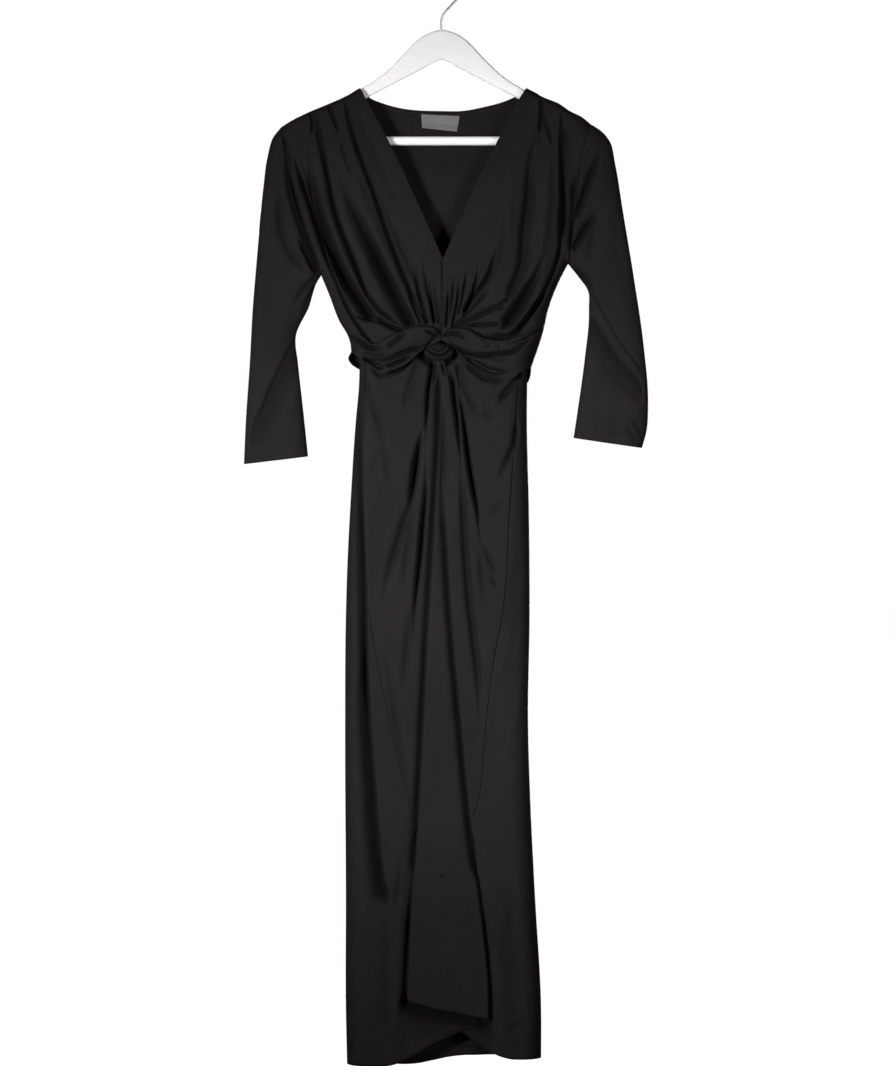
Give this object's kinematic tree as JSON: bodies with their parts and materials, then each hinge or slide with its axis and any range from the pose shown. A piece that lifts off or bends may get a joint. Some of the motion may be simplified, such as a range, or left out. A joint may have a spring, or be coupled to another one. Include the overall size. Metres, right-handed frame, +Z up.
{
  "type": "jersey midi dress on a hanger",
  "caption": "Dark jersey midi dress with a V neck, twist knot waist, three-quarter sleeves and draped front panel, hanging flat on a wooden hanger.",
  "frame": {"origin": "inside top of the hanger's hook, where it rests on a rail", "axes": "+Z up, the front of the dress faces -Y, +X to the right as seen from the front"},
  "size_m": [0.5255, 0.0652, 1.4259],
  "materials": {
    "jersey": "soft matte knit",
    "white_wood": "satin white paint",
    "hook_wire": "bright",
    "label_satin": "satin weave"
  },
  "bodies": {
    "root": {"bodice_front_left": "jersey", "bodice_front_right": "jersey", "bodice_back": "jersey", "sleeve_left": "jersey", "sleeve_right": "jersey", "skirt_front_centre": "jersey", "skirt_front_left": "jersey", "skirt_front_right": "jersey", "skirt_back": "jersey", "knot": "jersey", "neck_label": "label_satin", "hanger_body": "white_wood", "hanger_bar": "white_wood", "hanger_hook": "hook_wire"}
  },
  "joints": []
}
